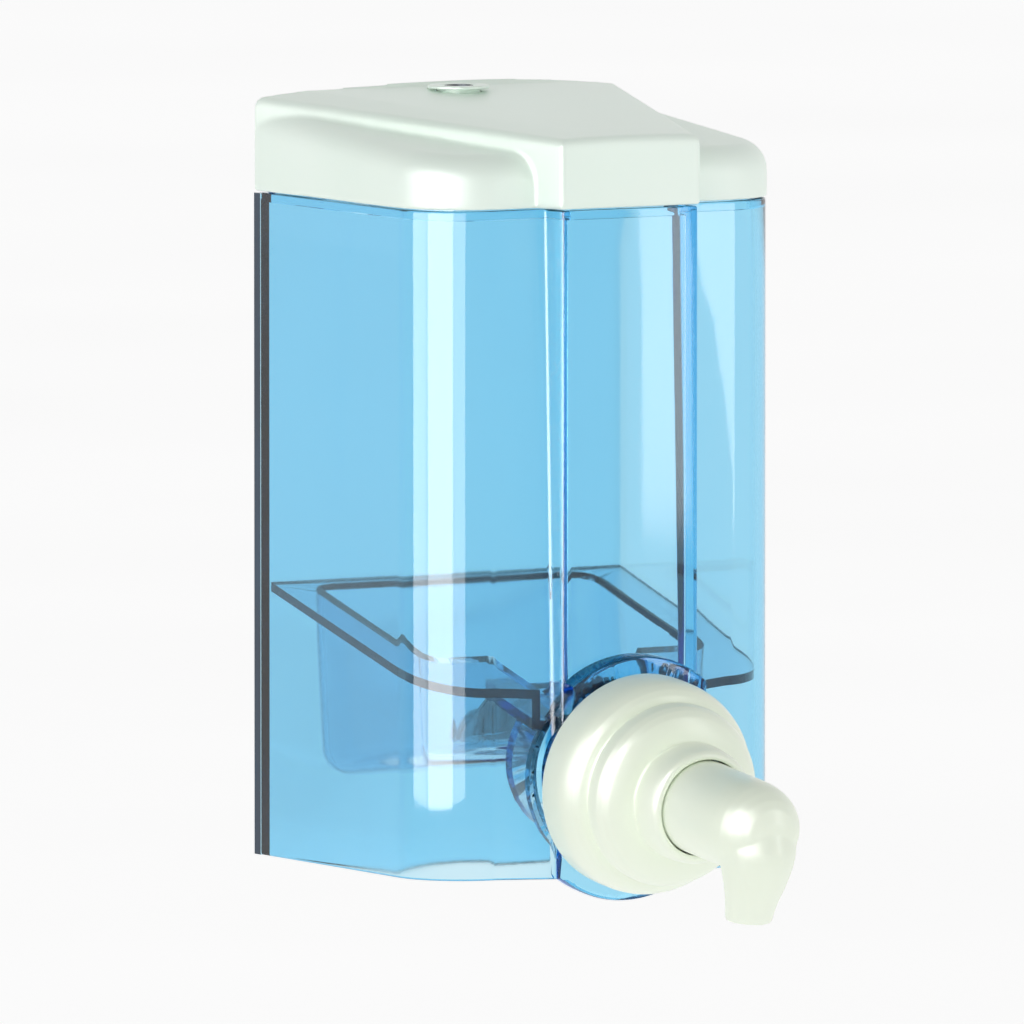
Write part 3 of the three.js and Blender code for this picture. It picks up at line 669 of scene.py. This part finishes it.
def sweep(name, pts, r, seg=12, matrix=None, sub=1):
    """Round tube along points."""
    vs, fs = [], []
    P = [Vector(p) for p in pts]
    up = Vector((0.31, 0.77, 0.55)).normalized()
    for i, p in enumerate(P):
        t = (P[min(i + 1, len(P) - 1)] - P[max(i - 1, 0)]).normalized()
        a = t.cross(up).normalized()
        b = t.cross(a).normalized()
        up = b
        up = -a.cross(t) if False else up
        for k in range(seg):
            w = 2 * math.pi * k / seg
            vs.append(p + (a * math.cos(w) + b * math.sin(w)) * r)
    for i in range(len(P) - 1):
        for k in range(seg):
            j = (k + 1) % seg
            fs.append((i * seg + k, i * seg + j, (i + 1) * seg + j, (i + 1) * seg + k))
    fs.append(tuple(range(seg)))
    fs.append(tuple(range((len(P) - 1) * seg, len(P) * seg)))
    return make(name, vs, fs, matrix)


def build_spring():
    turns, r, a0, a1 = 5, 3.3, -56.9, -40.9
    pts = []
    n = turns * 32
    for k in range(n + 1):
        t = k / n * turns * 2 * math.pi
        s = k / n
        # closed end coils
        e = s - 0.055 * math.sin(2 * math.pi * s)
        pts.append((r * math.cos(t), r * math.sin(t), a0 + (a1 - a0) * e))
    vs, fs = [], []
    seg, wire = 12, 0.36
    for i, p in enumerate(pts):
        t = i / n * turns * 2 * math.pi
        out = Vector((math.cos(t), math.sin(t), 0))
        for k in range(seg):
            w = 2 * math.pi * k / seg
            vs.append(Vector(p) + out * wire * math.cos(w) + Vector((0, 0, wire * math.sin(w))))
    for i in range(len(pts) - 1):
        for k in range(seg):
            j = (k + 1) % seg
            fs.append((i * seg + k, i * seg + j, (i + 1) * seg + j, (i + 1) * seg + k))
    fs.append(tuple(range(seg)))
    fs.append(tuple(range((len(pts) - 1) * seg, len(pts) * seg)))
    ob = make("coil_spring", vs, fs, PUMP)
    finish_piece(ob, "body", ["return_spring"], steel)
    c, s = math.cos(TILT), math.sin(TILT)
    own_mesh(ob)
    return ob


# ------------------------------------------------------------------ build everything
build_shell()
build_plate()
build_tub()
build_lid()
build_lock()
build_closure()
build_housing()
build_actuator()
build_spring()

carried = {
    "lock_nut": lock_metal, "lock_tongue": lock_metal, "lock_screw": lock_metal, "neck_gasket": dark_rubber, "suction_tube": natural,
    "inlet_ball": steel, "outlet_ball": steel, "liquid_piston": natural, "air_piston": natural, "air_valve_ring": dark_rubber,
    "foam_mixer": natural, "mesh_cartridge": natural, "mesh_coarse": natural, "mesh_fine": natural,
}
for node, mat in carried.items():
    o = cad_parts[node]
    o.data.materials.clear()
    o.data.materials.append(mat)

# ------------------------------------------------------------------ stage, light, camera
floor = make("floor", [(-30, -30, 0), (30, -30, 0), (30, 30, 0), (-30, 30, 0)], [(0, 1, 2, 3)])
floor.location = (0, 0, -0.24)
fm, fnt, fb, fout = new_mat("floor_white")
fnt.links.new(ramp(fnt, noise(fnt, 3, 2).outputs["Fac"], 0.3, 0.7, (0.93, 0.93, 0.93), (0.95, 0.95, 0.95)), fb.inputs["Base Color"])
fb.inputs["Roughness"].default_value = 0.9
fb.inputs["Emission Color"].default_value = (1, 1, 1, 1)
fb.inputs["Emission Strength"].default_value = 0.36
fb.inputs["Specular IOR Level"].default_value = 0.0
floor.data.materials.append(fm)

world = bpy.data.worlds.new("studio")
scene.world = world
world.use_nodes = True
wn = world.node_tree
bg = wn.nodes["Background"]
bg.inputs["Strength"].default_value = 1.0
wtc = wn.nodes.new("ShaderNodeTexCoord")
wsep = wn.nodes.new("ShaderNodeSeparateXYZ")
wn.links.new(wtc.outputs["Generated"], wsep.inputs[0])
front = wn.nodes.new("ShaderNodeMapRange")          # 0 towards the room, 1 behind the object
front.inputs["From Min"].default_value, front.inputs["From Max"].default_value = -0.7, 0.15
wn.links.new(wsep.outputs["Y"], front.inputs["Value"])
up = wn.nodes.new("ShaderNodeMapRange")             # the light from straight above is weaker
up.inputs["From Min"].default_value, up.inputs["From Max"].default_value = 0.2, 0.9
up.inputs["To Min"].default_value, up.inputs["To Max"].default_value = 1.0, 0.42
wn.links.new(wsep.outputs["Z"], up.inputs["Value"])
wr = wn.nodes.new("ShaderNodeValToRGB")
wr.color_ramp.elements[0].color = (0.92, 0.92, 0.92, 1)
wr.color_ramp.elements[1].color = (1.08, 1.08, 1.08, 1)
wn.links.new(front.outputs["Result"], wr.inputs["Fac"])
wn.links.new(wr.outputs["Color"], bg.inputs["Color"])
wn.links.new(up.outputs["Result"], bg.inputs["Strength"])


def area(name, az, el, dist, size, size_y, radiance, glossy_only=False, target=(0, -0.05, 0.0)):
    """Soft box at azimuth az (degrees towards the viewer's left from the front) and elevation el."""
    a, e = math.radians(az), math.radians(el)
    loc = Vector(target) + Vector((-math.sin(a) * math.cos(e), -math.cos(a) * math.cos(e), math.sin(e))) * dist
    ld = bpy.data.lights.new(name, "AREA")
    ld.shape, ld.size, ld.size_y = "RECTANGLE", size, size_y
    ld.energy = radiance * math.pi * size * size_y
    o = bpy.data.objects.new(name, ld)
    o.location = loc
    o.rotation_euler = (Vector(target) - loc).to_track_quat("-Z", "Y").to_euler()
    if glossy_only:
        o.visible_diffuse = False
        o.visible_transmission = False
    coll.objects.link(o)
    return o


area("top_box", 25, 40, 1.3, 0.7, 0.7, 0.5)
area("left_strip", 62, 4, 1.2, 0.85, 1.8, 8.0, True)
area("left_wide", 66, 4, 1.25, 2.3, 1.8, 6.0, True)
area("left_side", 96, 0, 1.3, 0.5, 1.4, 2.0, True)
area("right_strip", -36, 14, 1.3, 0.22, 0.9, 5.0, True)

AZ, EL, DIST, F_PX = math.radians(30.0), math.radians(4.9), 5.934, 24920.0
target = Vector((-0.0021, -0.040, 0.0828 - 0.090))
back = Vector((-math.sin(AZ) * math.cos(EL), -math.cos(AZ) * math.cos(EL), math.sin(EL)))
cam_data = bpy.data.cameras.new("camera")
cam = bpy.data.objects.new("camera", cam_data)
cam.location = target + back * DIST
cam.rotation_euler = back.to_track_quat("Z", "Y").to_euler()
cam_data.sensor_width = 36.0
cam_data.lens = F_PX / 1024 * 36.0
cam_data.clip_start, cam_data.clip_end = 0.1, 100
cam_data.dof.use_dof = False
coll.objects.link(cam)
scene.camera = cam

scene.view_settings.view_transform = "Standard"
scene.view_settings.look = "None"
scene.cycles.max_bounces = 16
scene.cycles.transmission_bounces = 16
scene.cycles.transparent_max_bounces = 24
scene.cycles.glossy_bounces = 8
scene.cycles.diffuse_bounces = 4
scene.cycles.use_denoising = True
scene.cycles.sample_clamp_indirect = 4.0
